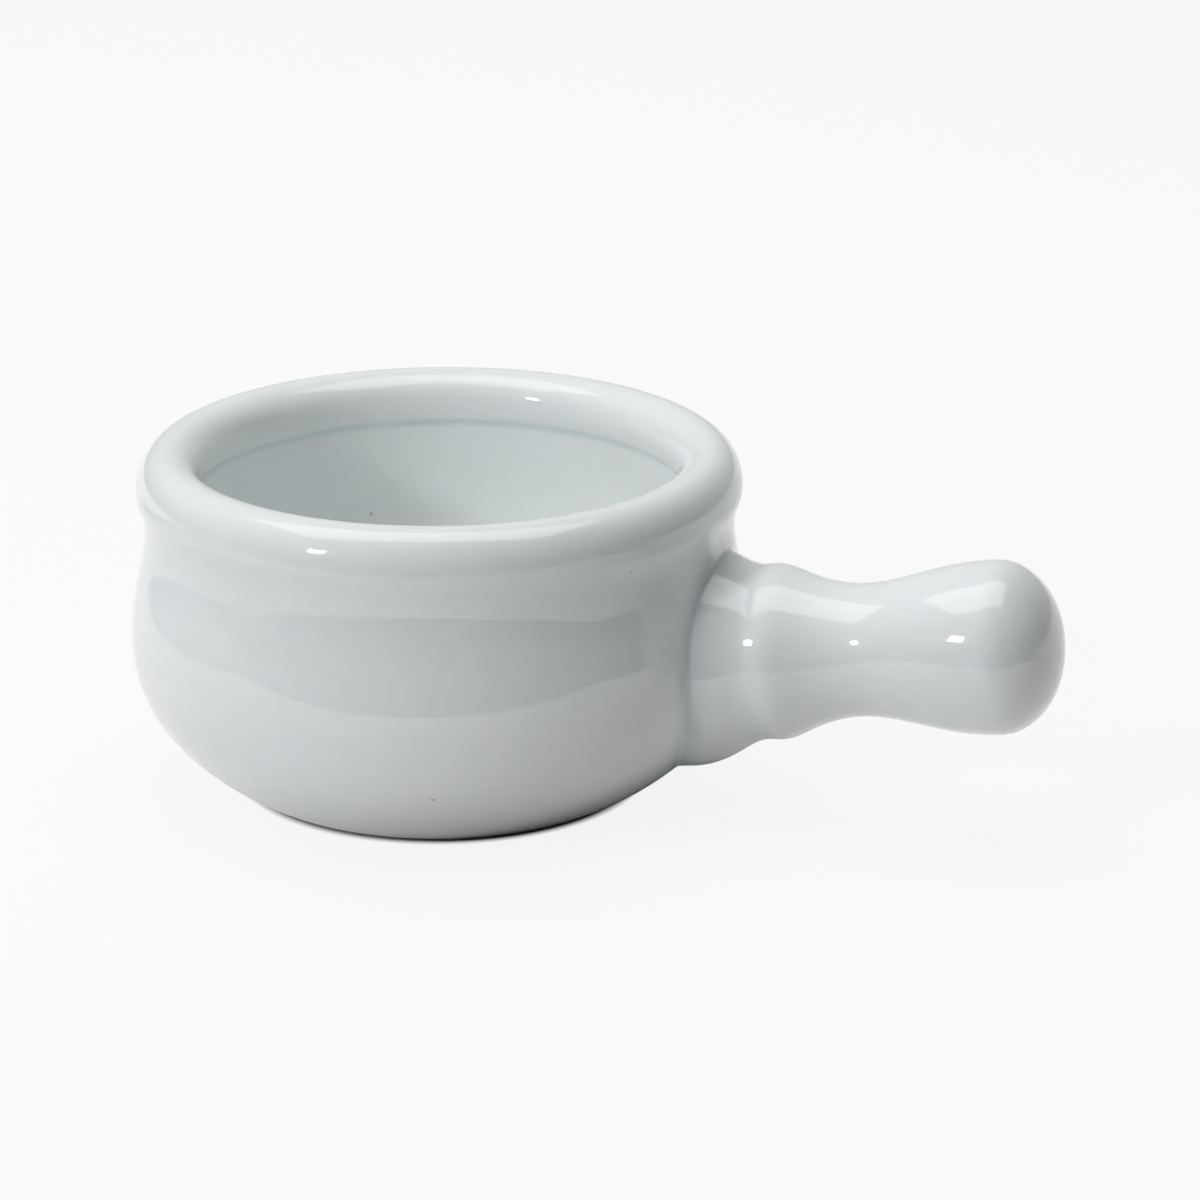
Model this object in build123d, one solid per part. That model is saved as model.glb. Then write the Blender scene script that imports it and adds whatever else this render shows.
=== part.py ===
from build123d import *
from math import cos, radians, sin, tan
import os

# French onion soup crock: a round porcelain bowl with a rolled rim and one hollow stub handle.
# The origin is on the bowl's axis at the table, +Z is up and the handle points along +X.
# All sizes are in millimetres. Outside sizes are measured over the glaze.

# Rolled rim
rim_height = 63.7
mouth_radius = 44.0
roll_radius = 5.85
roll_drop = 7.4
roll_tuck = 40.0

# Bowl wall
roll_foot_drop = 10.4
roll_foot_depth = 0.78
neck_drop = 15.3
neck_depth = 1.34
upper_belly_radius = 55.58
upper_belly_height = 40.0
belly_radius = 57.17
belly_height = 27.6
haunch_radius = 54.25
haunch_height = 16.0
heel_radius = 44.75
heel_height = 5.4
wall = 6.2
throat_lean = 12.0

# Floor and foot
floor_thickness = 4.6
floor_radius = 27.0
foot_radius = 36.85
foot_rise = 0.5
foot_slope = 24.0
foot_width = 3.6
recess_depth = 2.0
recess_taper = 30.0

# Height of the bowl that the handle's root leaves free, where its lines run on to the bowl's axis
root_above = 20.85
root_below = 1.55

# Handle, from the bowl's axis out along its own axis
handle_tilt = 7.25
flange_reach = 49.0
shoulder_run = 7.4
shoulder_step = 1.9
groove_run = 7.0
groove_depth = 0.09
bead_run = 2.6
bead_radius = 16.06
bead_foot_run = 6.0
bead_foot_radius = 14.12
waist_run = 10.3
waist_radius = 12.12
flare_run = 4.9
flare_radius = 12.66
cone_run = 11.3
cone_radius = 15.06
bulb_run = 8.5
bulb_radius = 15.76
cap_run = 11.2
handle_wall = 4.0
vent_radius = 1.25
vent_run = 7.9

# Glaze and luting slip
glaze = 0.4
slip_thickness = 0.5
slip_spread = 0.6
root_round = 1.5

# Places that follow from the sizes above
roll_centre = (mouth_radius + roll_radius, rim_height - roll_radius)
roll_middle = (mouth_radius + roll_radius, rim_height - roll_drop)
roll_side = (mouth_radius + 2 * roll_radius, rim_height - roll_drop)
roll_foot = (roll_side[0] - roll_foot_depth, rim_height - roll_foot_drop)
neck = (roll_side[0] - neck_depth, rim_height - neck_drop)
upper_belly = (upper_belly_radius, upper_belly_height)
belly = (belly_radius, belly_height)
haunch = (haunch_radius, haunch_height)
heel = (heel_radius, heel_height)
foot = (foot_radius, foot_rise)
floor_height = recess_depth + floor_thickness
foot_turn = radians(foot_slope)
throat_turn = radians(throat_lean)
cap_turn = radians(45)
foot_ring = foot_radius - glaze / sin(foot_turn)
flange_radius = (rim_height - root_above - root_below) / 2
handle_height = root_below + flange_radius
shoulder_radius = flange_radius - shoulder_step
shoulder_reach = flange_reach + shoulder_run
groove_reach = shoulder_reach + groove_run
bead_reach = groove_reach + bead_run
bead_foot_reach = bead_reach + bead_foot_run
waist_reach = bead_foot_reach + waist_run
flare_reach = waist_reach + flare_run
cone_reach = flare_reach + cone_run
bulb_reach = cone_reach + bulb_run
vent_reach = bead_reach + vent_run
recess_edge = foot_ring - foot_width
recess_top = recess_edge - recess_depth * tan(radians(recess_taper))


def smooth_line(*stations, ends):
    """A smooth line through the stations, with the given directions at its two ends."""
    return Spline(*stations, tangents=ends, tangent_scalars=(1, 1))


def inset_place(before, here, after, inset):
    """A station moved into the clay, square to the run between its neighbours."""
    run = (Vector(*after) - Vector(*before)).normalized()
    return Vector(*here) + Vector(run.Y, -run.X) * inset


def wall_stations(inset):
    """The bowl's side from the foot of the roll to the heel, moved into the clay."""
    row = [roll_side, roll_foot, neck, upper_belly, belly, haunch, heel, foot]
    return [inset_place(*row[i - 1 : i + 2], inset) for i in range(1, len(row) - 1)]


def outside_edges(inset):
    """The bowl's outer skin from the crown of the roll to the glaze line, inset below the glaze."""
    roll = EllipticalCenterArc(
        roll_middle,
        roll_radius - inset,
        roll_drop - inset,
        start_angle=90,
        arc_size=-90,
    )
    foot_place = (foot[0] - inset / sin(foot_turn), foot[1])
    ends = ((0, -1), (-cos(foot_turn), -sin(foot_turn)))
    side = smooth_line(roll @ 1, *wall_stations(inset), foot_place, ends=ends)
    return [roll, side]


def inside_edges(inset):
    """The bowl's inner skin from the crown of the roll to the middle of the floor, inset below the glaze."""
    roll = CenterArc(roll_centre, roll_radius - inset, 90, 90 + roll_tuck)
    floor_edge = (floor_radius, floor_height - inset)
    ends = ((sin(throat_turn), -cos(throat_turn)), (-1, 0))
    belly_down = wall_stations(wall - inset)[3:]
    side = smooth_line(roll @ 1, *belly_down, floor_edge, ends=ends)
    return [roll, side, Line(floor_edge, (0, floor_edge[1]))]


def turned(edges):
    """A solid turned about the bowl's axis from a closed half section, with its seam away from the handle."""
    return Rot(0, 0, 180) * revolve(Plane.XZ * make_face(edges), Axis.Z)


def bowl_plug(inset):
    """The bowl's outer form filled in, to cut other pieces to the curve of the wall."""
    roll, side = outside_edges(inset)
    top = (0, (roll @ 0).Y)
    base = (0, foot_rise)
    return turned([roll, side, Polyline(side @ 1, base, top, roll @ 0)])


def handle_plug(inset):
    """The handle's form filled in, from inside the bowl's wall to the tip, inset below the glaze."""
    stations = [
        (flange_reach, flange_radius - inset),
        (shoulder_reach, shoulder_radius - inset),
        (groove_reach, bead_radius - groove_depth - inset),
        (bead_reach, bead_radius - inset),
        (bead_foot_reach, bead_foot_radius - inset),
        (waist_reach, waist_radius - inset),
        (flare_reach, flare_radius - inset),
        (cone_reach, cone_radius - inset),
        (bulb_reach, bulb_radius - inset),
    ]
    cap_length = cap_run - inset
    cap_side = (bulb_reach + cap_length * sin(cap_turn), (bulb_radius - inset) * cos(cap_turn))
    tip = (bulb_reach + cap_length, 0)
    side = smooth_line(*stations, ends=((1, 0), (1, 0)))
    cap = smooth_line(side @ 1, cap_side, tip, ends=((1, 0), (0, -1)))
    start = foot_ring - inset
    root = Polyline(tip, (start, 0), (start, flange_radius - inset), side @ 0)
    solid = revolve(make_face([side, cap, root]), Axis.X)
    return Pos(0, 0, handle_height) * Rot(0, -handle_tilt, 0) * solid


def vent_drill():
    """The small round hole under the handle that lets steam out of its hollow in the kiln."""
    drill = Cylinder(vent_radius, flange_radius, align=(Align.CENTER, Align.CENTER, Align.MAX))
    return Pos(0, 0, handle_height) * Rot(0, -handle_tilt, 0) * Pos(vent_reach, 0, 0) * drill


def glazed_form():
    """Bowl and handle over the glaze as one form, with the crease at the handle's root rounded."""
    bowl = bowl_plug(0)
    handle = handle_plug(0)
    whole = bowl + handle
    return fillet(new_edges(bowl, handle, combined=whole), root_round)


def bowl_body():
    """The clay bowl, bare at the foot ring."""
    outer = outside_edges(glaze)
    inner = inside_edges(glaze)
    base = Polyline(
        outer[1] @ 1,
        (foot_ring, 0),
        (recess_edge, 0),
        (recess_top, recess_depth),
        (0, recess_depth),
        inner[2] @ 1,
    )
    return turned([*outer, base, *inner])


def inside_glaze():
    """The coat from the floor up over the inside to the crown of the roll."""
    skin = inside_edges(0)
    clay = inside_edges(glaze)
    ends = [Line(skin[0] @ 0, clay[0] @ 0), Line(skin[2] @ 1, clay[2] @ 1)]
    return turned(skin + clay + ends)


def base_glaze():
    """The disc of glaze on the roof of the foot's recess."""
    lower = recess_depth - glaze
    lower_edge = recess_top + glaze * tan(radians(recess_taper))
    roof = recess_depth
    return turned([Polyline((0, lower), (lower_edge, lower), (recess_top, roof), (0, roof), close=True)])


clay_bowl = bowl_plug(glaze)
clay_handle = handle_plug(glaze)
slip_face = bowl_plug(glaze - slip_thickness)
hollow = handle_plug(glaze + handle_wall)
vent = vent_drill()
slip = (handle_plug(glaze - slip_spread) & slip_face) - clay_bowl - hollow
inner_half = Pos(0, 0, roll_centre[1]) * Cylinder(
    roll_centre[0], 2 * roll_radius, align=(Align.CENTER, Align.CENTER, Align.MIN)
)

pieces = {
    "bowl_body": bowl_body(),
    "handle_body": clay_handle - slip_face - hollow - vent,
    "joint_slip": slip,
    "inside_glaze": inside_glaze(),
    "outside_glaze": glazed_form() - clay_bowl - clay_handle - slip - inner_half - vent,
    "base_glaze": base_glaze(),
}

os.makedirs("parts", exist_ok=True)
for name, piece in pieces.items():
    piece.label = name
    export_step(piece, f"parts/{name}.step")
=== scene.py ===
from math import cos, pi, radians, sin

import bpy
import numpy as np
from mathutils import Matrix, Vector


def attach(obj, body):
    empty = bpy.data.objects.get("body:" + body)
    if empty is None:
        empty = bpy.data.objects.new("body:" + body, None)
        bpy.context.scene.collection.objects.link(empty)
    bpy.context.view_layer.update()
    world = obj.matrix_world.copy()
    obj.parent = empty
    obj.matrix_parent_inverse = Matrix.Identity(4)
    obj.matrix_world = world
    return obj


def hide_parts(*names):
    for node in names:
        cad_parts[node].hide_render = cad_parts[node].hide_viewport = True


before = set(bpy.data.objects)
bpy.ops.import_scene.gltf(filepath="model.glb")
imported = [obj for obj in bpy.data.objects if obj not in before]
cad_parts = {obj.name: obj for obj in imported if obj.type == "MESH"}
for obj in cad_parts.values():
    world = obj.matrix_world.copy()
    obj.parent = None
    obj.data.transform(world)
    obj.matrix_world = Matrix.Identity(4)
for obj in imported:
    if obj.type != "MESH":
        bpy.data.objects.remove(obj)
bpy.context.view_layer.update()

# A white glazed soup crock with a rolled rim and one stub handle, which points along +X.
# Sizes are in millimetres over the glaze. They are those of the solids, but for the neck, which lies
# 1.5 mm lower here, and the belly and tip, which keep the coats just inside the solids' box.
MM = 0.001

# Rolled rim
RIM_HEIGHT = 63.7
MOUTH_RADIUS = 44.0
ROLL_RADIUS = 5.85
ROLL_DROP = 7.4
ROLL_TUCK = 40.0

# Bowl wall
ROLL_FOOT_DROP = 10.4
ROLL_FOOT_DEPTH = 0.78
NECK_DROP = 16.8
NECK_DEPTH = 1.34
UPPER_BELLY = (55.58, 40.0)
BELLY = (57.15, 27.6)
HAUNCH = (54.25, 16.0)
HEEL = (44.75, 5.4)
FOOT = (36.85, 0.5)
FOOT_SLOPE = 24.0
WALL = 6.2
THROAT_LEAN = 12.0
FLOOR_RADIUS = 27.0
FLOOR_HEIGHT = 6.6

# Handle, as distance along its own axis and radius there
HANDLE_HEIGHT = 22.2
HANDLE_TILT = 7.25
HANDLE_START = 36.0
FLANGE = (49.0, 20.65)
SHOULDER = (56.4, 18.75)
GROOVE = (63.4, 15.97)
BEAD = (66.0, 16.06)
BEAD_FOOT = (72.0, 14.12)
WAIST = (82.3, 12.12)
FLARE = (87.2, 12.66)
CONE = (98.5, 15.06)
BULB = (107.0, 15.76)
TIP = 118.19
VENT_REACH = 73.9
VENT_RADIUS = 1.25
VENT_LIP = 0.5

# Glaze
GLAZE = 0.4
ROOT_ROUND = 1.5
CREASE_ROUND = 0.5

# Points of an outline this close are one, and a rounded corner has this many
SAME_PLACE = 1e-9
BEND_POINTS = 40

# Glaze colour, shares of pooled tint and painted shade with their spread in millimetres, gloss, and height
# of its relief. The pooled tint is darker than pooled glaze alone: it is partly painted shade in the
# creases and hollows.
GLAZE_COOL = (0.866, 0.906, 0.910)
GLAZE_WARM = (0.878, 0.906, 0.900)
GLAZE_POOL_AND_SHADE = (0.58, 0.69, 0.69)
POOL_AND_SHADE_TINT = 0.6
MOTTLE = 0.05
NECK_POOL_AND_SHADE = 0.15
NECK_POOL_AND_SHADE_WIDTH = 5.0
ROOT_POOL_AND_SHADE_WIDTH = 2.2
GROOVE_POOL_AND_SHADE = 0.25
GROOVE_POOL_AND_SHADE_WIDTH = 2.0
CREASE_POOL_AND_SHADE_WIDTH = 0.8
FLOOR_POOL_AND_SHADE = 0.15
FLOOR_POOL_AND_SHADE_WIDTH = 8.0
GLAZE_ROUGHNESS = (0.012, 0.035)
GLAZE_IOR = 1.6
HAZE = 0.2
HAZE_ROUGHNESS = 0.24
RIPPLE = 0.008
PEEL = 0.0006

# Clouds in the glaze by their size in millimetres, and the range of a cloud's values that is used
CLOUD_WIDE = (0.3, 0.7)
CLOUD_TIGHT = (0.35, 0.65)
TINT_CLOUD = 38
MOTTLE_CLOUD = 5
POOL_AND_SHADE_CLOUD = 9
POOL_AND_SHADE_LEAST = 0.6
GLOSS_CLOUD = 12
RIPPLE_CLOUD = 9
PEEL_CLOUD = 1.6

# Fine pins all over the glaze, and iron specks by turn about the bowl's axis, height, size and strength
SPECK_COLOUR = (0.20, 0.17, 0.13)
PIN_TINT = 0.25
PIN_SPACING = 21
PIN_SIZE = 0.35
OUTSIDE_SPECKS = (
    (-72.0, 14.4, 1.0, 0.40),
    (-125.8, 12.3, 1.1, 0.45),
    (-32.5, 53.0, 0.8, 0.30),
    (-96.8, 55.6, 0.7, 0.12),
)
INSIDE_SPECKS = ((125.4, 34.6, 1.0, 0.40),)

# Bare clay and slip
CLAY_COLOUR = (0.84, 0.82, 0.78)
CLAY_DARK = (0.76, 0.73, 0.68)
CLAY_GREY = (0.58, 0.57, 0.55)
SLIP_COLOUR = (0.86, 0.84, 0.80)
SLIP_DARK = (0.79, 0.76, 0.71)
CLAY_GRAIN = 0.5
CLAY_SCUFF = 0.55
CLAY_SCUFF_HEIGHT = 0.4
CLAY_SPECKS = 0.6
CLAY_ROUGHNESS = (0.62, 0.82)
CLAY_RELIEF = 0.02
CLAY_FINE_SHARE = 1 / 3
CLAY_TONE_CLOUD = 6
CLAY_GRAIN_CLOUD = 0.5
CLAY_SCUFF_CLOUD = 3
CLAY_SCUFF_RANGE = (0.5, 0.65)
CLAY_GLOSS_CLOUD = 2
CLAY_RELIEF_CLOUD = 1.5
CLAY_FINE_CLOUD = 0.25
CLAY_SPECK_SPACING = 7
CLAY_SPECK_SIZE = 0.3

# Mesh of the bowl: columns, and rows by their first step, its growth and the widest step
BOWL_COLUMNS = 288
ROLL_STEPS = (0.03, 1.5, 0.75)
FOOT_STEPS = (0.1, 1.4, 1.0)
THROAT_STEPS = (0.03, 1.5, 0.45)
INSIDE_STEPS = (0.15, 1.2, 0.9)
CREASE_ROWS = 9
FLOOR_DISC = 16.2

# Mesh of the handle and of the window in the bowl's side that it grows from
ROOT_COLUMNS = 176
WINDOW_CELLS = ROOT_COLUMNS // 4
WINDOW_TOP = 53.5
WINDOW_BOTTOM = 3.6
CORNER_TURN = 135.0
ROOT_SHARES = (0.82, 0.64, 0.48, 0.34, 0.22, 0.13, 0.06)
ROOT_HALVINGS = 50
ROOT_PROBE = 0.05
FILLET_ROWS = 9
COLLAR_ROWS = 15
COLLAR_END = 62.0
SHAFT_STEP = 0.75
CAP_SPAN = 7.0
VENT_CELLS = 12
VENT_SHARES = (0.75, 0.5, 0.25)
VENT_LIP_ROWS = 6

# Sockets of Blender's Mix node when it mixes colours
MIX_COLOURS = (6, 7)
MIX_RESULT = 2

# Camera
VIEW_TURN = 18.0
VIEW_DROP = 18.855
VIEW_DISTANCE = 885.6
AIM_HEIGHT = 31.49
AIM_RIGHT = 29.43
AIM_UP = 1.78
SENSOR = 36.0
LENS = 143.37

# Studio, in metres, degrees and watts. Angles are right of the viewer and up from level.
# Places on the table and cards are to the right of the crock's axis and to its back.
FLOOR_SPAN = 3.0
FLOOR_COLOUR = (0.68, 0.675, 0.68)
FLOOR_ROUGHNESS = 0.9
FLOOR_WHITE = (1.0, 1.0, 1.0)
FLOOR_LIFT = 0.88
CONTACT_RADII = (0.0366, 0.0386)
SHADE_RIGHT = 0.014
SHADE_BACK = 0.002
SHADE_RADII = (0.038, 0.066)
TABLE_CORNERS = ((-0.15, 0.17), (-0.37, -0.15), (0.46, -0.29), (0.33, 0.02))
ROOM_CORNERS = ((-3.0, 0.60), (-3.0, -3.0), (3.0, -3.0), (3.0, 0.30))
CARD_HEIGHT = 0.0005
ROOM_FRONT = (0.06, 0.09, 0.12)
ROOM_LEFT = (0.55, 0.57, 0.60)
ROOM_LEFT_AZIMUTH = -125
ROOM_LEFT_SPREAD = 75
ROOM_RIGHT = (0.90, 0.90, 0.90)
ROOM_RIGHT_AZIMUTH = 92
ROOM_RIGHT_SPREAD = 16
KEY_AZIMUTH = -46
KEY_ELEVATION = 24
KEY_DISTANCE = 3.0
KEY_SIZE = 0.32
KEY_POWER = 15.0
SOFT_AZIMUTH = -50
SOFT_ELEVATION = 36
SOFT_POWER = 11.2
SIDE_AZIMUTH = -125
SIDE_ELEVATION = 25
SIDE_POWER = 3.0
SOFT_DISTANCE = 2.0
SOFT_SIZE = 0.8
LAMP_COLOUR = (0.99, 0.99, 1.0)
PANEL_LEFT = -0.70
PANEL_RIGHT = 0.53
PANEL_FRONT = -0.34
PANEL_BACK = 0.70
PANEL_HEIGHT = 1.03
PANEL_SHIFT = -0.05
PANEL_POWER = 8.6
PANEL_FACE_BACK = 0.40
PANEL_COLOUR = (1.7, 1.7, 1.7)

# Surroundings: their colour, and glows in them by azimuth, elevation, sharpness and colour
WORLD_BASE = (0.01, 0.01, 0.01)
WORLD_LOBES = (
    (120, 10, 3.0, (0.15, 0.15, 0.15)),
    (170, 12, 3.0, (0.50, 0.50, 0.49)),
)


def spline(points, start, end, samples=600):
    """Samples of the smooth line through the points, with the given directions at its two ends."""
    places = np.array(points, float)
    spans = np.linalg.norm(np.diff(places, axis=0), axis=1)
    count = len(places)
    system = np.zeros((count, count))
    known = np.zeros((count, 2))
    system[0, 0] = system[-1, -1] = 1
    known[0] = start
    known[-1] = end
    for i in range(1, count - 1):
        before, after = spans[i - 1], spans[i]
        system[i, i - 1 : i + 2] = after, 2 * (before + after), before
        rise = after / before * (places[i] - places[i - 1])
        known[i] = 3 * (rise + before / after * (places[i + 1] - places[i]))
    slopes = np.linalg.solve(system, known)
    reach = np.concatenate([[0], np.cumsum(spans)])
    along = np.linspace(0, reach[-1], samples)
    span = np.clip(np.searchsorted(reach, along, side="right") - 1, 0, count - 2)
    length = spans[span][:, None]
    share = (along - reach[span])[:, None] / length
    rest = 1 - share
    line = rest**2 * ((1 + 2 * share) * places[span] + share * length * slopes[span])
    return line + share**2 * ((1 + 2 * rest) * places[span + 1] - rest * length * slopes[span + 1])


def arc(centre, radii, first, last, samples=200):
    """Samples of an arc of a circle or ellipse between two angles in degrees."""
    turn = np.radians(np.linspace(first, last, samples))
    return np.array(centre) + np.array(radii) * np.stack([np.cos(turn), np.sin(turn)], axis=1)


class Outline:
    """A half section, read by the distance along it."""

    def __init__(self, *runs):
        self.places = np.concatenate(runs)
        steps = np.linalg.norm(np.diff(self.places, axis=0), axis=1)
        keep = np.concatenate([[True], steps > SAME_PLACE])
        self.places = self.places[keep]
        steps = np.linalg.norm(np.diff(self.places, axis=0), axis=1)
        self.reach = np.concatenate([[0], np.cumsum(steps)])
        self.length = self.reach[-1]

    def at(self, along):
        """The two coordinates at a distance along the outline."""
        return [np.interp(along, self.reach, self.places[:, i]) for i in range(2)]

    def rounded(self, corner, radius):
        """The same outline with the corner nearest to a distance along it rounded off."""
        low, high = corner - radius, corner + radius
        share = np.linspace(0, 1, BEND_POINTS)[:, None]
        ends = [np.stack(self.at(np.array([d])), axis=1) for d in (low, corner, high)]
        bend = (1 - share) ** 2 * ends[0] + 2 * share * (1 - share) * ends[1] + share**2 * ends[2]
        return Outline(self.places[self.reach < low], bend, self.places[self.reach > high])


def inset(before, here, after, depth):
    """A station moved into the clay, square to the run between its neighbours."""
    run = np.subtract(after, before)
    run = run / np.linalg.norm(run)
    return np.array(here) + depth * np.array([run[1], -run[0]])


ROLL_CENTRE = (MOUTH_RADIUS + ROLL_RADIUS, RIM_HEIGHT - ROLL_RADIUS)
ROLL_SIDE = (MOUTH_RADIUS + 2 * ROLL_RADIUS, RIM_HEIGHT - ROLL_DROP)
ROLL_FOOT = (ROLL_SIDE[0] - ROLL_FOOT_DEPTH, RIM_HEIGHT - ROLL_FOOT_DROP)
NECK = (ROLL_SIDE[0] - NECK_DEPTH, RIM_HEIGHT - NECK_DROP)
BOWL_SIDE = (ROLL_SIDE, ROLL_FOOT, NECK, UPPER_BELLY, BELLY, HAUNCH, HEEL, FOOT)


def outside_outline():
    """The bowl's outside from the crown of the roll down to the glaze line above the foot."""
    roll = arc((ROLL_CENTRE[0], ROLL_SIDE[1]), (ROLL_RADIUS, ROLL_DROP), 90, 0)
    slope = radians(FOOT_SLOPE)
    side = spline(BOWL_SIDE, (0, -1), (-cos(slope), -sin(slope)))
    return Outline(roll, side)


def inside_outline():
    """The bowl's inside from the crown of the roll down to the middle of the floor."""
    roll = arc(ROLL_CENTRE, (ROLL_RADIUS, ROLL_RADIUS), 90, 180 + ROLL_TUCK)
    row = BOWL_SIDE[BOWL_SIDE.index(UPPER_BELLY) :]
    stations = [inset(*row[i - 1 : i + 2], WALL) for i in range(1, len(row) - 1)]
    lean = radians(THROAT_LEAN)
    floor_edge = (FLOOR_RADIUS, FLOOR_HEIGHT)
    side = spline([roll[-1], *stations, floor_edge], (sin(lean), -cos(lean)), (-1, 0))
    whole = Outline(roll, side, np.array([floor_edge, (0, FLOOR_HEIGHT)]))
    return whole.rounded(radians(90 + ROLL_TUCK) * ROLL_RADIUS, CREASE_ROUND)


def handle_outline():
    """The handle's side and end, as distance along its axis and radius."""
    bore = np.array([(HANDLE_START, FLANGE[1]), FLANGE])
    stations = [FLANGE, SHOULDER, GROOVE, BEAD, BEAD_FOOT, WAIST, FLARE, CONE, BULB]
    side = spline(stations, (1, 0), (1, 0))
    cap_turn = radians(45)
    knuckle = (BULB[0] + (TIP - BULB[0]) * sin(cap_turn), BULB[1] * cos(cap_turn))
    cap = spline([BULB, knuckle, (TIP, 0)], (1, 0), (0, -1))
    return Outline(bore, side, cap)


OUTSIDE = outside_outline()
INSIDE = inside_outline()
HANDLE = handle_outline()


def bowl_place(outline, turn, along):
    """Points of a form turned about the bowl's axis."""
    radius, height = outline.at(along)
    return np.stack([radius * np.cos(turn), radius * np.sin(turn), height + 0 * turn], axis=-1)


def handle_place(turn, along, sunk=0.0):
    """Points of the handle, by the turn about its own axis and the distance along its outline."""
    reach, radius = HANDLE.at(along)
    radius = radius - sunk
    tilt = radians(HANDLE_TILT)
    side = radius * np.cos(turn)
    rise = radius * np.sin(turn)
    x = reach * cos(tilt) - rise * sin(tilt)
    z = HANDLE_HEIGHT + reach * sin(tilt) + rise * cos(tilt)
    return np.stack([x, side + 0 * x, z], axis=-1)


class Skin:
    """A mesh under construction: rows of points joined by four-sided faces."""

    def __init__(self):
        self.points = np.zeros((0, 3))
        self.pool_and_shade = np.zeros(0)
        self.faces = []

    def add(self, places, pool_and_shade=0.0):
        """Adds points with their share of pooled glaze and painted shade, and returns their numbers in the
        same layout.
        """
        first = len(self.points)
        flat = np.reshape(places, (-1, 3))
        self.points = np.concatenate([self.points, flat])
        self.pool_and_shade = np.concatenate([self.pool_and_shade, np.ravel(np.broadcast_to(pool_and_shade, np.shape(places)[:-1]))])
        return first + np.arange(len(flat)).reshape(np.shape(places)[:-1])

    def join(self, grid, closed=True, skip=None, flip=False):
        """Faces between neighbouring rows of point numbers, but for a skipped window of cells."""
        grid = np.asarray(grid)
        wide = np.concatenate([grid, grid[:, :1]], axis=1) if closed else grid
        cells = np.stack([wide[:-1, :-1], wide[1:, :-1], wide[1:, 1:], wide[:-1, 1:]], axis=-1)
        if flip:
            cells = cells[..., ::-1]
        kept = np.ones(cells.shape[:2], bool)
        if skip:
            rows, columns = skip
            kept[rows, columns] = False
        self.faces.append(cells[kept])

    def build(self, name):
        """The Blender object, in metres, without the points that no face uses."""
        faces = np.concatenate(self.faces)
        used = np.unique(faces)
        number = np.zeros(len(self.points), int)
        number[used] = np.arange(len(used))
        mesh = bpy.data.meshes.new(name)
        mesh.from_pydata((self.points[used] * MM).tolist(), [], number[faces].tolist())
        depth = mesh.attributes.new("pool_and_shade", "FLOAT", "POINT")
        depth.data.foreach_set("value", self.pool_and_shade[used])
        mesh.shade_smooth()
        piece = bpy.data.objects.new(name, mesh)
        bpy.context.scene.collection.objects.link(piece)
        return piece


def border(grid):
    """The loop round a grid of point numbers: along its last row, up its last column and back."""
    sides = [grid[-1, :-1], grid[::-1, -1][:-1], grid[0, ::-1][:-1], grid[:, 0][:-1]]
    return np.concatenate(sides)


def round_grid(cells):
    """Radius share and turn of a square grid of points that is drawn out to a round disc."""
    line = np.linspace(-1, 1, cells + 1)
    across, down = np.meshgrid(line, -line)
    wide = np.abs(across) >= np.abs(down)
    radius = np.where(wide, across, down)
    safe = np.where(radius == 0, 1, radius)
    turn = np.where(wide, pi / 4 * down / safe, pi / 2 - pi / 4 * across / safe)
    return radius, turn


def fill_disc(skin, ring, place):
    """Fills a ring of points with a square grid, so that the middle has no pole."""
    cells = len(ring) // 4
    radius, turn = round_grid(cells)
    grid = np.zeros((cells + 1, cells + 1), int)
    loop = border(np.arange(grid.size).reshape(grid.shape))
    grid[1:-1, 1:-1] = skin.add(place(radius[1:-1, 1:-1], turn[1:-1, 1:-1]))
    grid.flat[loop] = ring
    skin.join(grid, closed=False)


def graded(first, last, fine, growth, coarse):
    """Distances from first to last that start fine and grow to a coarse step."""
    steps = [0.0]
    step = fine
    while steps[-1] < last - first:
        steps.append(steps[-1] + step)
        step = min(step * growth, coarse)
    return first + np.array(steps) * (last - first) / steps[-1]


def near(along, place, width):
    """A soft share that is one at a place and dies away over a width."""
    return np.exp(-(((along - place) / width) ** 2))


def bowl_turns():
    """Turns of the bowl's columns. The first columns span the window that the handle grows from."""
    step = 2 * pi / BOWL_COLUMNS
    return step * (np.arange(BOWL_COLUMNS) - WINDOW_CELLS / 2)


def root_turns():
    """Turns about the handle's axis of the columns that run along it, from the lower left corner."""
    return radians(-CORNER_TURN) + 2 * pi / ROOT_COLUMNS * np.arange(ROOT_COLUMNS)


def side_reach(height, outline=OUTSIDE):
    """Distance along the bowl's side at a height below the roll."""
    start = np.searchsorted(-outline.places[:, 1], -ROLL_SIDE[1])
    return np.interp(-height, -outline.places[start:, 1], outline.reach[start:])


def neck_pool_and_shade(along):
    """Share of pooled glaze and painted shade in the neck under the roll."""
    return NECK_POOL_AND_SHADE * near(along, side_reach(NECK[1]), NECK_POOL_AND_SHADE_WIDTH)


def root_line(turn):
    """Distance along the handle's outline at which it comes out of the bowl's side."""
    low = np.zeros_like(turn)
    high = np.full_like(turn, BEAD[0] - HANDLE_START)
    for _ in range(ROOT_HALVINGS):
        middle = (low + high) / 2
        place = handle_place(turn, middle)
        bowl_radius = OUTSIDE.at(side_reach(place[:, 2]))[0]
        inside = np.hypot(place[:, 0], place[:, 1]) < bowl_radius
        low = np.where(inside, middle, low)
        high = np.where(inside, high, middle)
    return low


def unit(rows):
    """Rows of vectors at length one."""
    return rows / np.linalg.norm(rows, axis=-1, keepdims=True)


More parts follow.
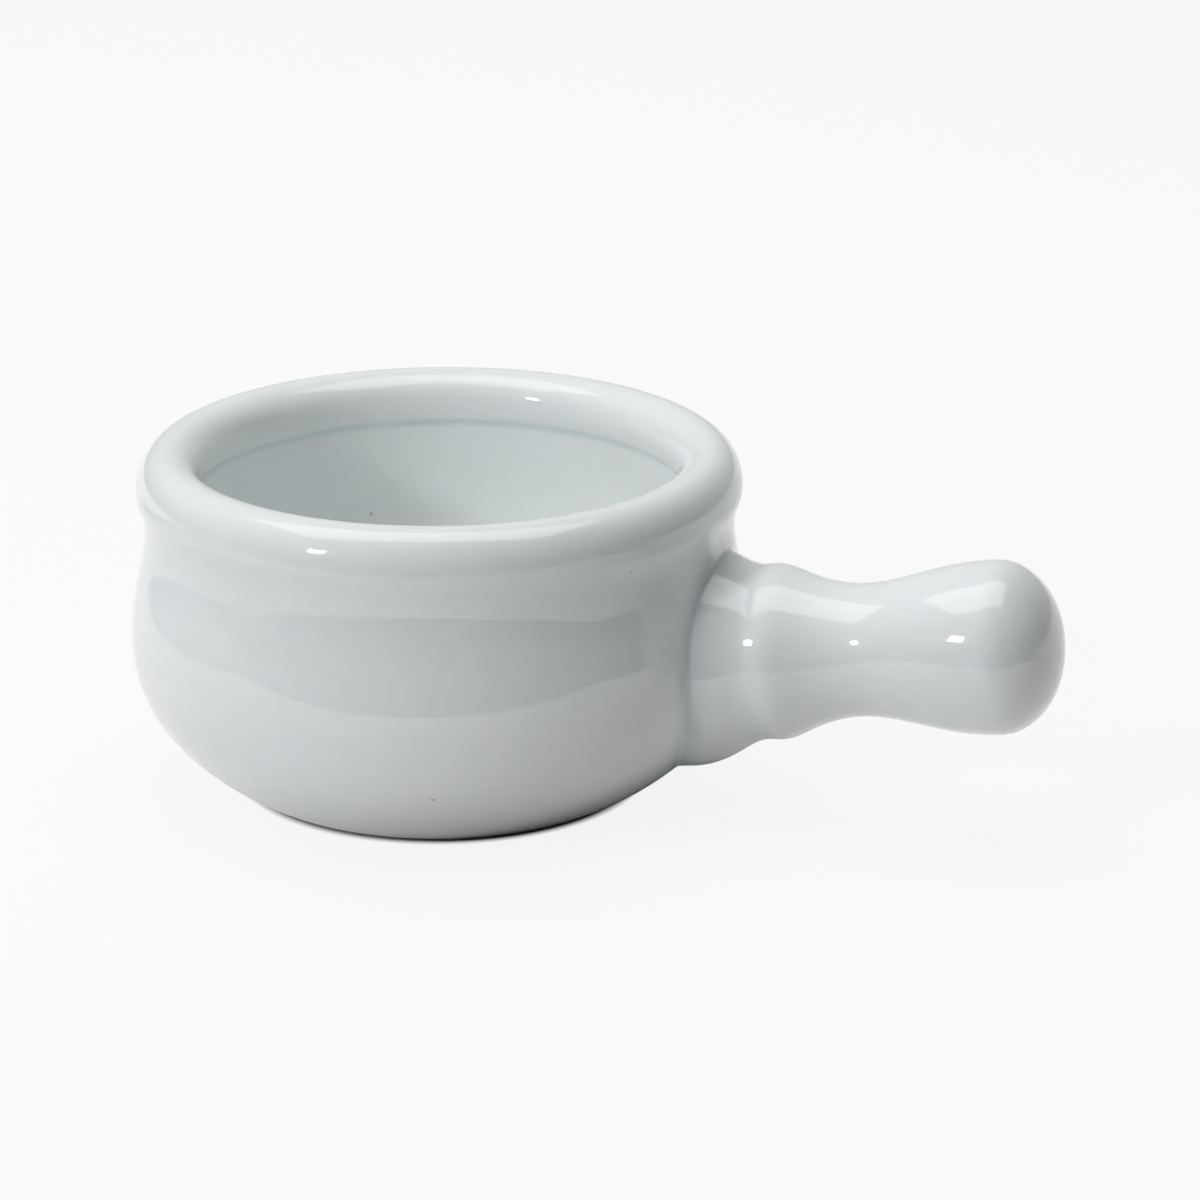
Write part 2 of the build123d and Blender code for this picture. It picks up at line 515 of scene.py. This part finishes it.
def root_fillet(turn):
    """Rows of points over the rounded crease at the handle's root, and where the end rows lie.

    The first row lies on the bowl and the last one on the handle.
    """
    start = root_line(turn)
    corner = handle_place(turn, start)
    along_handle = unit(handle_place(turn, start + ROOT_PROBE) - corner)
    sunk = handle_place(turn, start, ROOT_PROBE) - corner
    bowl_turn = np.arctan2(corner[:, 1], corner[:, 0])
    reach = side_reach(corner[:, 2])
    down = unit(bowl_place(OUTSIDE, bowl_turn, reach + ROOT_PROBE) - corner)
    round_about = np.stack([-np.sin(bowl_turn), np.cos(bowl_turn), 0 * turn], axis=-1)
    crease = unit(np.roll(corner, -1, axis=0) - np.roll(corner, 1, axis=0))
    face = np.cross(down, round_about)
    away = unit(np.cross(crease, face))
    away *= -np.sign(np.sum(away * sunk, axis=1, keepdims=True))
    opening = np.arccos(np.clip(np.sum(along_handle * away, axis=1), -1, 1))
    span = ROOT_ROUND / np.tan(opening / 2)
    on_handle = handle_place(turn, start + span)
    guess = corner + away * span[:, None]
    guess_turn = np.arctan2(guess[:, 1], guess[:, 0])
    guess_reach = reach + span * np.sum(away * down, axis=1)
    on_bowl = bowl_place(OUTSIDE, guess_turn, guess_reach)
    weight = np.sin(opening / 2)[:, None]
    fillet = []
    for share in np.linspace(0, 1, FILLET_ROWS):
        parts = [(1 - share) ** 2, 2 * share * (1 - share) * weight, share**2]
        fillet.append((parts[0] * on_bowl + parts[1] * corner + parts[2] * on_handle) / sum(parts))
    return fillet, np.stack([guess_turn, guess_reach], axis=-1), start + span


def outside_glaze():
    """The coat on the bowl's outside and the handle, in one skin with a vent hole under the handle."""
    skin = Skin()
    turns = bowl_turns()
    window_top = side_reach(WINDOW_TOP)
    window_bottom = side_reach(WINDOW_BOTTOM)
    above = graded(0, window_top, *ROLL_STEPS)
    window = np.linspace(window_top, window_bottom, WINDOW_CELLS + 1)
    below = OUTSIDE.length - graded(0, OUTSIDE.length - window_bottom, *FOOT_STEPS)[::-1]
    rows = np.concatenate([above, window[1:], below[1:]])
    grid = skin.add(bowl_place(OUTSIDE, turns[None, :], rows[:, None]), neck_pool_and_shade(rows)[:, None])
    first = len(above) - 1
    last = first + WINDOW_CELLS
    skin.join(grid, skip=(slice(first, last), slice(0, WINDOW_CELLS)))

    frame_turn, frame_reach = np.meshgrid(turns[: WINDOW_CELLS + 1], window)
    frame_loop = border(np.arange(frame_turn.size).reshape(frame_turn.shape))
    frame_places = np.stack([frame_turn.flat[frame_loop], frame_reach.flat[frame_loop]], axis=-1)
    frame_points = border(grid[first : last + 1, : WINDOW_CELLS + 1])

    turn = root_turns()
    fillet, hole_places, start = root_fillet(turn)
    rings = [frame_points]
    for share in ROOT_SHARES:
        mixed = share * frame_places + (1 - share) * hole_places
        away = np.linalg.norm((mixed - hole_places) * (BELLY[0], 1), axis=1)
        # Pooled glaze and painted shade, fading out from the handle's root.
        pool_and_shade = np.maximum(near(away, 0, ROOT_POOL_AND_SHADE_WIDTH), neck_pool_and_shade(mixed[:, 1]))
        rings.append(skin.add(bowl_place(OUTSIDE, mixed[:, 0], mixed[:, 1]), pool_and_shade))
    # The rounded crease at the root takes the full share of pooled glaze and painted shade.
    rings += [skin.add(row, 1.0) for row in fillet]

    level = COLLAR_END - HANDLE_START
    for share in np.linspace(0, 1, COLLAR_ROWS + 1)[1:]:
        along = start + share * (level - start)
        rings.append(skin.add(handle_place(turn, along), near(along, start, ROOT_POOL_AND_SHADE_WIDTH)))
    skin.join(np.array(rings), flip=True)

    vent_along = np.interp(VENT_REACH, HANDLE.places[:, 0], HANDLE.reach)
    vent_rows = round((vent_along - level) / SHAFT_STEP)
    row_step = (vent_along - level) / vent_rows
    cap_start = HANDLE.length - CAP_SPAN
    row_count = round((cap_start - level) / row_step)
    shaft_rows = level + row_step * np.arange(row_count + 1)
    # Pooled glaze and painted shade in the groove between flange and bead.
    groove_pool_and_shade = GROOVE_POOL_AND_SHADE * near(HANDLE.at(shaft_rows)[0], GROOVE[0], GROOVE_POOL_AND_SHADE_WIDTH)
    shaft = np.concatenate([
        rings[-1][None, :],
        skin.add(handle_place(turn[None, :], shaft_rows[1:, None]), groove_pool_and_shade[1:, None]),
    ])
    middle = ROOT_COLUMNS // 8
    half = VENT_CELLS // 2
    hole_rows = slice(vent_rows - half, vent_rows + half)
    hole_columns = slice(middle - half, middle + half)
    skin.join(shaft, skip=(hole_rows, hole_columns), flip=True)
    cut_vent(skin, shaft, turn, shaft_rows, vent_rows, middle)

    tip_span = HANDLE.length - shaft_rows[-1]
    fill_disc(skin, shaft[-1], lambda radius, turned: handle_place(
        np.where(radius < 0, turned + pi, turned), HANDLE.length - np.abs(radius) * tip_span))
    return skin.build("outside_glaze_coat")


def cut_vent(skin, shaft, turn, shaft_rows, row, column):
    """The round vent hole under the handle, with the glaze drawn in over its edge."""
    half = VENT_CELLS // 2
    rows = slice(row - half, row + half + 1)
    columns = slice(column - half, column + half + 1)
    loop = border(np.arange((VENT_CELLS + 1) ** 2).reshape(VENT_CELLS + 1, -1))
    frame_turn, frame_along = np.meshgrid(turn[columns], shaft_rows[rows])
    frame_places = np.stack([frame_turn.flat[loop], frame_along.flat[loop]], axis=-1)
    centre = np.array([turn[column], shaft_rows[row]])
    radius = HANDLE.at(centre[1])[1]
    scale = np.array([1 / radius, 1])
    heading = (frame_places - centre) / scale
    heading = heading / np.linalg.norm(heading, axis=1, keepdims=True)
    rings = [border(shaft[rows, columns])]
    for share in VENT_SHARES:
        edge = centre + heading * scale * (VENT_RADIUS + VENT_LIP)
        mixed = share * frame_places + (1 - share) * edge
        rings.append(skin.add(handle_place(mixed[:, 0], mixed[:, 1])))
    for drop in np.radians(np.linspace(0, 90, VENT_LIP_ROWS)):
        spread = VENT_RADIUS + VENT_LIP * (1 - sin(drop))
        mixed = centre + heading * scale * spread
        rings.append(skin.add(handle_place(mixed[:, 0], mixed[:, 1], GLAZE * (1 - cos(drop)))))
    skin.join(np.array(rings))


def inside_glaze():
    """The coat on the bowl's inside, from the crown of the roll to the middle of the floor."""
    skin = Skin()
    turns = bowl_turns()
    crease = radians(90 + ROLL_TUCK) * ROLL_RADIUS
    floor_ring = INSIDE.length - FLOOR_DISC
    upper = graded(0, crease - CREASE_ROUND, *THROAT_STEPS)
    bend = np.linspace(crease - CREASE_ROUND, crease + CREASE_ROUND, CREASE_ROWS)
    lower = graded(crease + CREASE_ROUND, floor_ring, *INSIDE_STEPS)
    rows = np.concatenate([upper, bend[1:], lower[1:]])
    # Pooled glaze and painted shade in the crease under the roll and round the edge of the floor.
    crease_pool_and_shade = near(rows, crease, CREASE_POOL_AND_SHADE_WIDTH)
    pool_and_shade = crease_pool_and_shade + FLOOR_POOL_AND_SHADE * near(rows, INSIDE.length - FLOOR_RADIUS, FLOOR_POOL_AND_SHADE_WIDTH)
    grid = skin.add(bowl_place(INSIDE, turns[None, :], rows[:, None]), pool_and_shade[:, None])
    skin.join(grid, flip=True)
    span = INSIDE.length - rows[-1]
    offset = turns[0] + radians(CORNER_TURN)
    fill_disc(skin, grid[-1], lambda radius, turned: bowl_place(
        INSIDE, np.where(radius < 0, turned + pi, turned) + offset,
        INSIDE.length - np.abs(radius) * span))
    return skin.build("inside_glaze_coat")


def thicken(piece):
    """Gives a coat its real thickness, inwards."""
    shell = piece.modifiers.new("thickness", "SOLIDIFY")
    shell.thickness = GLAZE * MM
    shell.offset = -1


def node_tree(name):
    """A new material with its node tree and shader."""
    material = bpy.data.materials.new(name)
    material.use_nodes = True
    tree = material.node_tree
    return material, tree, tree.nodes["Principled BSDF"]


def feed(tree, socket, value):
    """Joins a socket to another one, or sets it to a number or colour."""
    if isinstance(value, bpy.types.NodeSocket):
        tree.links.new(value, socket)
    else:
        socket.default_value = value


def compute(tree, operation, first, second):
    """The result of an operation on two sockets or numbers."""
    node = tree.nodes.new("ShaderNodeMath")
    node.operation = operation
    feed(tree, node.inputs[0], first)
    feed(tree, node.inputs[1], second)
    return node.outputs[0]


def blend(tree, share, first, second):
    """One colour that passes into another by a share."""
    node = tree.nodes.new("ShaderNodeMix")
    node.data_type = "RGBA"
    feed(tree, node.inputs["Factor"], share)
    for socket, colour in zip(MIX_COLOURS, (first, second)):
        plain = not isinstance(colour, bpy.types.NodeSocket)
        feed(tree, node.inputs[socket], (*colour, 1) if plain else colour)
    return node.outputs[MIX_RESULT]


def remap(tree, value, low, high, new_low, new_high):
    """A value drawn from one range to another, held at its ends."""
    node = tree.nodes.new("ShaderNodeMapRange")
    feed(tree, node.inputs["Value"], value)
    for name, number in (("From Min", low), ("From Max", high), ("To Min", new_low), ("To Max", new_high)):
        node.inputs[name].default_value = number
    return node.outputs["Result"]


def place_of(tree):
    """The place on the object, in metres in the crock's own frame."""
    return tree.nodes.new("ShaderNodeTexCoord").outputs["Object"]


def cloud(tree, size, detail=2.0):
    """A soft random value between about 0.3 and 0.7, in patches of a size in millimetres."""
    node = tree.nodes.new("ShaderNodeTexNoise")
    feed(tree, node.inputs["Vector"], place_of(tree))
    node.inputs["Scale"].default_value = 1 / (size * MM)
    node.inputs["Detail"].default_value = detail
    return node.outputs["Fac"]


def grains(tree, spacing, size):
    """Sparse round grains: one where a grain is, at a spacing and size in millimetres."""
    node = tree.nodes.new("ShaderNodeTexVoronoi")
    feed(tree, node.inputs["Vector"], place_of(tree))
    node.inputs["Scale"].default_value = 1 / (spacing * MM)
    edge = size / 2 / spacing
    return remap(tree, node.outputs["Distance"], edge / 2, edge, 1, 0)


def disc(tree, centre, radii):
    """A round patch: one within the first radius about a place, nothing past the second."""
    node = tree.nodes.new("ShaderNodeVectorMath")
    node.operation = "DISTANCE"
    feed(tree, node.inputs[0], place_of(tree))
    node.inputs[1].default_value = centre
    return remap(tree, node.outputs["Value"], *radii, 1, 0)


def spot(tree, place, size):
    """A single speck: one at a place on the object, nothing past its size in millimetres."""
    return disc(tree, place * MM, (size / 4 * MM, size / 2 * MM))


def relief(tree, shader, height):
    """Small relief on the surface, from a height in metres."""
    bump = tree.nodes.new("ShaderNodeBump")
    bump.inputs["Distance"].default_value = 1
    feed(tree, bump.inputs["Height"], height)
    feed(tree, shader.inputs["Normal"], bump.outputs["Normal"])


def glaze_material():
    """Glossy cool-white glaze: greener and darker where it has pooled, the darkness partly painted shade,
    clouded and rippled, with a few specks.
    """
    material, tree, shader = node_tree("white_glaze")
    tint = remap(tree, cloud(tree, TINT_CLOUD), *CLOUD_TIGHT, 0, 1)
    colour = blend(tree, tint, GLAZE_COOL, GLAZE_WARM)
    mottle = remap(tree, cloud(tree, MOTTLE_CLOUD, detail=3), *CLOUD_TIGHT, 0, MOTTLE)
    colour = blend(tree, mottle, colour, GLAZE_POOL_AND_SHADE)
    # Where glaze pools in creases and hollows it turns greener and darker; the darkening is partly painted
    # shade in those creases.
    depth = tree.nodes.new("ShaderNodeAttribute")
    depth.attribute_name = "pool_and_shade"
    cover = remap(tree, cloud(tree, POOL_AND_SHADE_CLOUD), *CLOUD_WIDE, POOL_AND_SHADE_LEAST * POOL_AND_SHADE_TINT, POOL_AND_SHADE_TINT)
    pooled_and_shaded = compute(tree, "MULTIPLY", depth.outputs["Fac"], cover)
    colour = blend(tree, pooled_and_shaded, colour, GLAZE_POOL_AND_SHADE)
    pins = compute(tree, "MULTIPLY", grains(tree, PIN_SPACING, PIN_SIZE), PIN_TINT)
    colour = blend(tree, pins, colour, SPECK_COLOUR)
    for outline, specks in ((OUTSIDE, OUTSIDE_SPECKS), (INSIDE, INSIDE_SPECKS)):
        for turn, height, size, strength in specks:
            place = bowl_place(outline, np.array(radians(turn)), side_reach(height, outline))
            mark = compute(tree, "MULTIPLY", spot(tree, Vector(place), size), strength)
            colour = blend(tree, mark, colour, SPECK_COLOUR)
    feed(tree, shader.inputs["Base Color"], colour)
    gloss = remap(tree, cloud(tree, GLOSS_CLOUD, detail=3), *CLOUD_WIDE, *GLAZE_ROUGHNESS)
    feed(tree, shader.inputs["Roughness"], gloss)
    ripple = compute(tree, "MULTIPLY", cloud(tree, RIPPLE_CLOUD, detail=1), RIPPLE * MM)
    peel = compute(tree, "MULTIPLY", cloud(tree, PEEL_CLOUD, detail=1), PEEL * MM)
    relief(tree, shader, compute(tree, "ADD", ripple, peel))
    shader.inputs["IOR"].default_value = GLAZE_IOR
    shader.inputs["Coat Weight"].default_value = HAZE
    shader.inputs["Coat Roughness"].default_value = HAZE_ROUGHNESS
    return material


def clay_material(name, colour, dark):
    """Bare fired porcelain: dry, fine-grained, scuffed grey where it stands, with a few specks."""
    material, tree, shader = node_tree(name)
    tone = remap(tree, cloud(tree, CLAY_TONE_CLOUD, detail=4), *CLOUD_WIDE, 0, 1)
    shade = blend(tree, tone, colour, dark)
    grain = remap(tree, cloud(tree, CLAY_GRAIN_CLOUD, detail=4), *CLOUD_TIGHT, 0, CLAY_GRAIN)
    shade = blend(tree, grain, shade, dark)
    height = tree.nodes.new("ShaderNodeSeparateXYZ")
    feed(tree, height.inputs[0], place_of(tree))
    low = remap(tree, height.outputs["Z"], 0, CLAY_SCUFF_HEIGHT * MM, 1, 0)
    worn = remap(tree, cloud(tree, CLAY_SCUFF_CLOUD, detail=5), *CLAY_SCUFF_RANGE, 0, CLAY_SCUFF)
    scuff = compute(tree, "MULTIPLY", low, worn)
    shade = blend(tree, scuff, shade, CLAY_GREY)
    specks = compute(tree, "MULTIPLY", grains(tree, CLAY_SPECK_SPACING, CLAY_SPECK_SIZE), CLAY_SPECKS)
    shade = blend(tree, specks, shade, SPECK_COLOUR)
    feed(tree, shader.inputs["Base Color"], shade)
    gloss = remap(tree, cloud(tree, CLAY_GLOSS_CLOUD, detail=3), *CLOUD_WIDE, *CLAY_ROUGHNESS)
    feed(tree, shader.inputs["Roughness"], gloss)
    coarse = compute(tree, "MULTIPLY", cloud(tree, CLAY_RELIEF_CLOUD, detail=4), CLAY_RELIEF * MM)
    fine_relief = CLAY_RELIEF * CLAY_FINE_SHARE * MM
    fine = compute(tree, "MULTIPLY", cloud(tree, CLAY_FINE_CLOUD, detail=2), fine_relief)
    relief(tree, shader, compute(tree, "ADD", coarse, fine))
    return material


def dress(piece, material):
    """Puts one material on a whole piece."""
    piece.data.materials.clear()
    piece.data.materials.append(material)


glaze = glaze_material()
clay = clay_material("fired_clay", CLAY_COLOUR, CLAY_DARK)
slip = clay_material("fired_slip", SLIP_COLOUR, SLIP_DARK)
for make, node in ((outside_glaze, "outside_glaze"), (inside_glaze, "inside_glaze")):
    coat = make()
    thicken(coat)
    dress(coat, glaze)
    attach(coat, "root")
    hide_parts(node)
solid_materials = {"bowl_body": clay, "handle_body": clay, "joint_slip": slip, "base_glaze": glaze}
for node, material in solid_materials.items():
    dress(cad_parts[node], material)


def direction(azimuth, elevation):
    """Unit direction from the object, by the angle to the right of the viewer and the angle up."""
    turn = radians(VIEW_TURN - 90 + azimuth)
    lift = radians(elevation)
    return Vector((cos(turn) * cos(lift), sin(turn) * cos(lift), sin(lift)))


RIGHT = direction(90, 0)
BACK = direction(180, 0)
UP = Vector((0, 0, 1))


def link(name, data):
    """A new object in the scene."""
    item = bpy.data.objects.new(name, data)
    bpy.context.scene.collection.objects.link(item)
    return item


def area_lamp(name, width, height, strength):
    """A rectangular soft lamp."""
    lamp = bpy.data.lights.new(name, "AREA")
    lamp.shape = "RECTANGLE"
    lamp.size = width
    lamp.size_y = height
    lamp.energy = strength
    lamp.color = LAMP_COLOUR
    return link(name, lamp)


def aimed_lamp(name, azimuth, elevation, distance, size, strength):
    """A square lamp at a distance from the bowl, turned towards it."""
    lamp = area_lamp(name, size, size, strength)
    place = direction(azimuth, elevation)
    lamp.location = place * distance + UP * AIM_HEIGHT * MM
    lamp.rotation_euler = (-place).to_track_quat("-Z", "Y").to_euler()
    return lamp


def add_lamps():
    """The small key lamp, which the glaze shows, and broad soft fill round it and from the left."""
    aimed_lamp("key", KEY_AZIMUTH, KEY_ELEVATION, KEY_DISTANCE, KEY_SIZE, KEY_POWER)
    soft = aimed_lamp("soft", SOFT_AZIMUTH, SOFT_ELEVATION, SOFT_DISTANCE, SOFT_SIZE, SOFT_POWER)
    side = aimed_lamp("side", SIDE_AZIMUTH, SIDE_ELEVATION, SOFT_DISTANCE, SOFT_SIZE, SIDE_POWER)
    for fill in (soft, side):
        fill.visible_glossy = False


def add_panel():
    """The wide flat light above the crock, square to the viewer, and its face as the glaze shows it."""
    lamp = area_lamp("panel", PANEL_RIGHT - PANEL_LEFT, PANEL_BACK - PANEL_FRONT, PANEL_POWER)
    across = PANEL_SHIFT + (PANEL_LEFT + PANEL_RIGHT) / 2
    middle = RIGHT * across + BACK * (PANEL_FRONT + PANEL_BACK) / 2
    axes = Matrix((RIGHT, BACK, UP)).transposed().to_4x4()
    lamp.matrix_world = Matrix.Translation(middle + UP * PANEL_HEIGHT) @ axes
    lamp.visible_glossy = False
    face = rectangle(PANEL_LEFT, PANEL_RIGHT, PANEL_FRONT, PANEL_FACE_BACK)
    glow_card(flat_sheet("panel_face", *face, PANEL_HEIGHT), panel_colour)


def panel_colour(tree):
    """The same all over the panel's face."""
    return (*PANEL_COLOUR, 1)


def glow_card(card, paint):
    """Gives a sheet a glow that shows in the glaze alone. Its colour comes from a function."""
    card.visible_camera = False
    card.visible_diffuse = False
    card.visible_shadow = False
    card.visible_transmission = False
    material, tree, _ = node_tree(card.name)
    glow = tree.nodes.new("ShaderNodeEmission")
    feed(tree, glow.inputs["Color"], paint(tree))
    tree.links.new(glow.outputs[0], tree.nodes["Material Output"].inputs["Surface"])
    dress(card, material)


def flat_sheet(name, corners, faces, height):
    """Level faces over corners to the right and to the back of the crock."""
    mesh = bpy.data.meshes.new(name)
    mesh.from_pydata([tuple(RIGHT * x + BACK * y + UP * height) for x, y in corners], [], faces)
    sheet = link(name, mesh)
    return sheet


def rectangle(left, right, front, back):
    """Corners of a rectangle that is square to the viewer, and its one face."""
    return [(left, front), (right, front), (right, back), (left, back)], [(0, 1, 2, 3)]


def add_floor():
    """The pale table top. It looks white to the eye and in the glaze, and keeps the crock's shadow.

    The shadow keeps its full depth along the foot and, in the glaze, all round the crock's dark side.
    """
    floor = flat_sheet("table_top", *rectangle(-FLOOR_SPAN, FLOOR_SPAN, -FLOOR_SPAN, FLOOR_SPAN), 0)
    material, tree, shader = node_tree("table_top")
    shader.inputs["Base Color"].default_value = (*FLOOR_COLOUR, 1)
    shader.inputs["Roughness"].default_value = FLOOR_ROUGHNESS
    shader.inputs["Specular IOR Level"].default_value = 0.0
    rays = tree.nodes.new("ShaderNodeLightPath").outputs
    past_contact = compute(tree, "SUBTRACT", 1.0, disc(tree, (0, 0, 0), CONTACT_RADII))
    shade = disc(tree, RIGHT * SHADE_RIGHT + BACK * SHADE_BACK, SHADE_RADII)
    past_shade = compute(tree, "SUBTRACT", 1.0, shade)
    seen = compute(tree, "MULTIPLY", rays["Is Camera Ray"], past_contact)
    mirrored = compute(tree, "MAXIMUM", rays["Is Glossy Ray"], rays["Is Transmission Ray"])
    shown = compute(tree, "MAXIMUM", seen, compute(tree, "MULTIPLY", mirrored, past_shade))
    white = tree.nodes.new("ShaderNodeEmission")
    white.inputs["Color"].default_value = (*FLOOR_WHITE, 1)
    mix = tree.nodes.new("ShaderNodeMixShader")
    feed(tree, mix.inputs[0], compute(tree, "MULTIPLY", shown, FLOOR_LIFT))
    feed(tree, mix.inputs[1], shader.outputs[0])
    feed(tree, mix.inputs[2], white.outputs[0])
    feed(tree, tree.nodes["Material Output"].inputs["Surface"], mix.outputs[0])
    dress(floor, material)


def towards(tree, place, azimuth, elevation):
    """The cosine of the angle between a place, taken as a direction, and another direction."""
    node = tree.nodes.new("ShaderNodeVectorMath")
    node.operation = "DOT_PRODUCT"
    feed(tree, node.inputs[0], place)
    node.inputs[1].default_value = direction(azimuth, elevation)
    return node.outputs["Value"]


def side_share(tree, place, azimuth, spread):
    """A share that is one at an azimuth and falls to nothing at a spread in degrees from it."""
    return remap(tree, towards(tree, place, azimuth, 0), cos(radians(spread)), 1, 0, 1)


def room_colour(tree):
    """Dim to the front and right of the table, paler to its left and white at its right end."""
    ahead = tree.nodes.new("ShaderNodeVectorMath")
    ahead.operation = "NORMALIZE"
    feed(tree, ahead.inputs[0], place_of(tree))
    place = ahead.outputs["Vector"]
    left = side_share(tree, place, ROOM_LEFT_AZIMUTH, ROOM_LEFT_SPREAD)
    right = side_share(tree, place, ROOM_RIGHT_AZIMUTH, ROOM_RIGHT_SPREAD)
    return blend(tree, right, blend(tree, left, ROOM_FRONT, ROOM_LEFT), ROOM_RIGHT)


def add_room_card():
    """The room past the table's left, front and right edges, as the glaze shows it."""
    count = len(TABLE_CORNERS)
    faces = [(i, i + count, i + count + 1, i + 1) for i in range(count - 1)]
    card = flat_sheet("room_card", TABLE_CORNERS + ROOM_CORNERS, faces, CARD_HEIGHT)
    glow_card(card, room_colour)


def add_camera():
    """The camera at the photograph's angle."""
    turn, drop = radians(VIEW_TURN), radians(VIEW_DROP)
    right = Vector((cos(turn), sin(turn), 0))
    ahead = Vector((-sin(turn) * cos(drop), cos(turn) * cos(drop), -sin(drop)))
    up = right.cross(ahead)
    aim = Vector((0, 0, AIM_HEIGHT)) + right * AIM_RIGHT + up * AIM_UP
    data = bpy.data.cameras.new("camera")
    data.sensor_width = SENSOR
    data.lens = LENS
    camera = link("camera", data)
    place = (aim - ahead * VIEW_DISTANCE) * MM
    camera.matrix_world = Matrix.Translation(place) @ Matrix((right, up, -ahead)).transposed().to_4x4()
    bpy.context.scene.camera = camera


def add_world():
    """Dim surroundings with soft glows at the right and at the back."""
    world = bpy.data.worlds.new("studio")
    world.use_nodes = True
    tree = world.node_tree
    place = tree.nodes.new("ShaderNodeTexCoord").outputs["Generated"]
    total = WORLD_BASE
    for azimuth, elevation, sharpness, colour in WORLD_LOBES:
        ahead = compute(tree, "MAXIMUM", towards(tree, place, azimuth, elevation), 0.0)
        glow = tree.nodes.new("ShaderNodeVectorMath")
        glow.operation = "MULTIPLY_ADD"
        feed(tree, glow.inputs[0], compute(tree, "POWER", ahead, sharpness))
        feed(tree, glow.inputs[1], colour)
        feed(tree, glow.inputs[2], total)
        total = glow.outputs["Vector"]
    feed(tree, tree.nodes["Background"].inputs["Color"], total)
    bpy.context.scene.world = world


add_floor()
add_room_card()
add_camera()
add_world()
add_lamps()
add_panel()
bpy.context.scene.view_settings.view_transform = "Standard"
